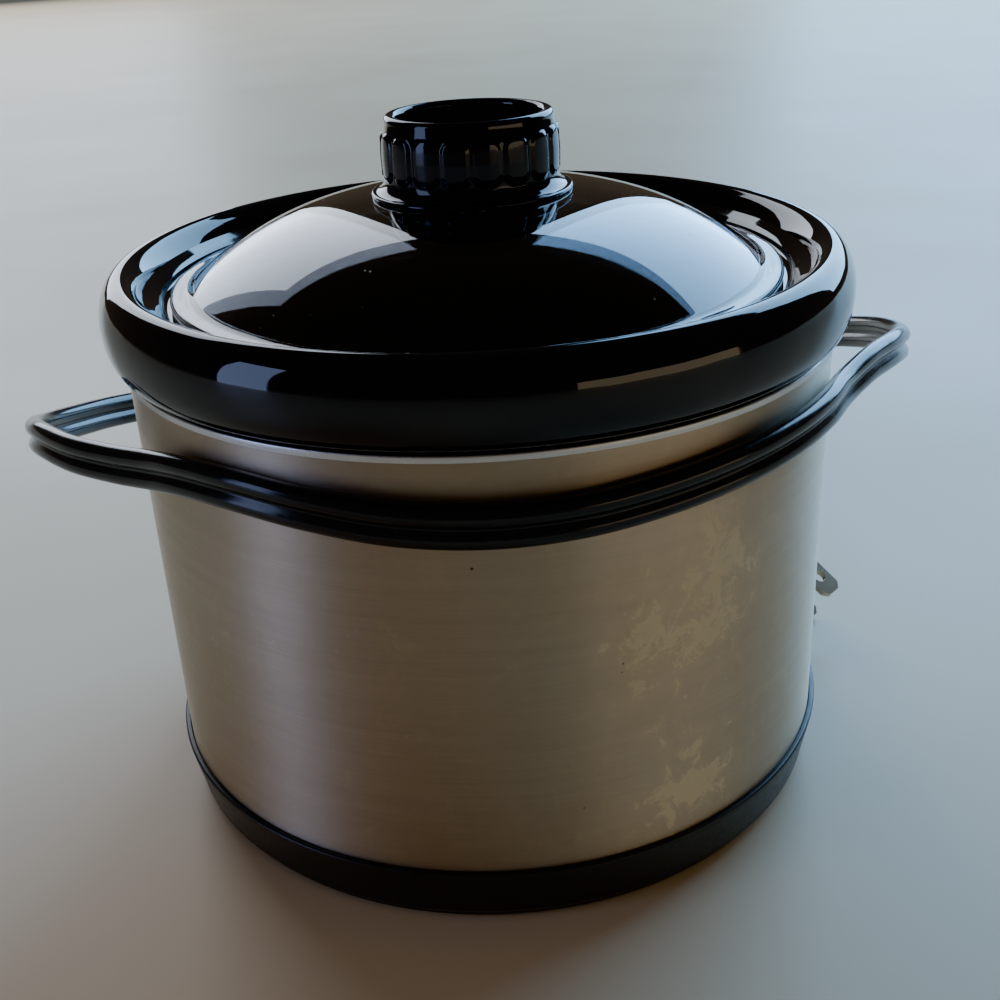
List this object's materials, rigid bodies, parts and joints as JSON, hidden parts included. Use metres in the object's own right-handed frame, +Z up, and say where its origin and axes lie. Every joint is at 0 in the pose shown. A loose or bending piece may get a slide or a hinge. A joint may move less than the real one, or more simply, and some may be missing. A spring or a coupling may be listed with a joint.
{
  "type": "slow cooker",
  "caption": "Small round slow cooker: steel shell on a black base, lift-out black crock, smoked glass dome lid with a fluted hollow knob, cord wrapped round the body.",
  "frame": {"origin": "on the table under the body's axis, level with the undersides of the rubber feet", "axes": "+Z up along the body's axis, +Y towards the back, where the cord leaves, +X to the right"},
  "size_m": [0.196, 0.1989, 0.1401],
  "materials": {
    "lid_glass": "dark smoked tempered glass, very glossy",
    "knob_plastic": "glossy black moulded phenolic with shallow flutes",
    "gasket_rubber": "black silicone rubber",
    "zinc_steel": "zinc plated steel",
    "crock_glaze": "glossy black glazed stoneware",
    "liner_aluminium": "mill finish aluminised sheet",
    "shell_steel": "brushed stainless sheet with faint stains",
    "heater_mica": "heater band in a folded metal sheath",
    "insulation_wool": "glass fibre blanket",
    "fuse_brass": "plated fuse case",
    "glass_sleeving": "varnished glass fibre sleeving",
    "splice_ceramic": "unglazed ceramic splice caps",
    "base_plastic": "satin black moulded plastic",
    "foot_rubber": "matt dark rubber",
    "relief_rubber": "soft black moulded strain relief",
    "cord_pvc": "glossy black PVC flat twin cord",
    "plug_pvc": "black moulded PVC plug",
    "blade_brass": "plated brass blades"
  },
  "bodies": {
    "housing": {"heating_liner": "liner_aluminium", "outer_shell": "shell_steel", "heater_band": "heater_mica", "band_springs": "zinc_steel", "insulation": "insulation_wool", "thermal_fuse": "fuse_brass", "fuse_sleeve": "glass_sleeving", "fuse_clip": "zinc_steel", "lead_line": "glass_sleeving", "lead_neutral": "glass_sleeving", "splice_caps": "splice_ceramic", "liner_stud": "zinc_steel", "stud_spacer": "zinc_steel", "heat_shield": "liner_aluminium", "base": "base_plastic", "base_washer": "zinc_steel", "base_nut": "zinc_steel", "foot_1": "foot_rubber", "foot_2": "foot_rubber", "foot_3": "foot_rubber", "foot_4": "foot_rubber", "strain_relief": "relief_rubber", "power_cord": "cord_pvc", "plug_body": "plug_pvc", "plug_blade_1": "blade_brass", "plug_blade_2": "blade_brass"},
    "crock": {"crock": "crock_glaze"},
    "lid": {"lid": "lid_glass", "lid_knob": "knob_plastic", "knob_gasket": "gasket_rubber", "knob_washer": "gasket_rubber", "knob_screw": "zinc_steel"}
  },
  "joints": [
    {"name": "crock_lift", "type": "slide", "parent": "housing", "child": "crock", "axis": [0, 0, 1], "range_m": [0, 0.1]},
    {"name": "lid_lift", "type": "slide", "parent": "crock", "child": "lid", "axis": [0, 0, 1], "range_m": [0, 0.12]}
  ]
}
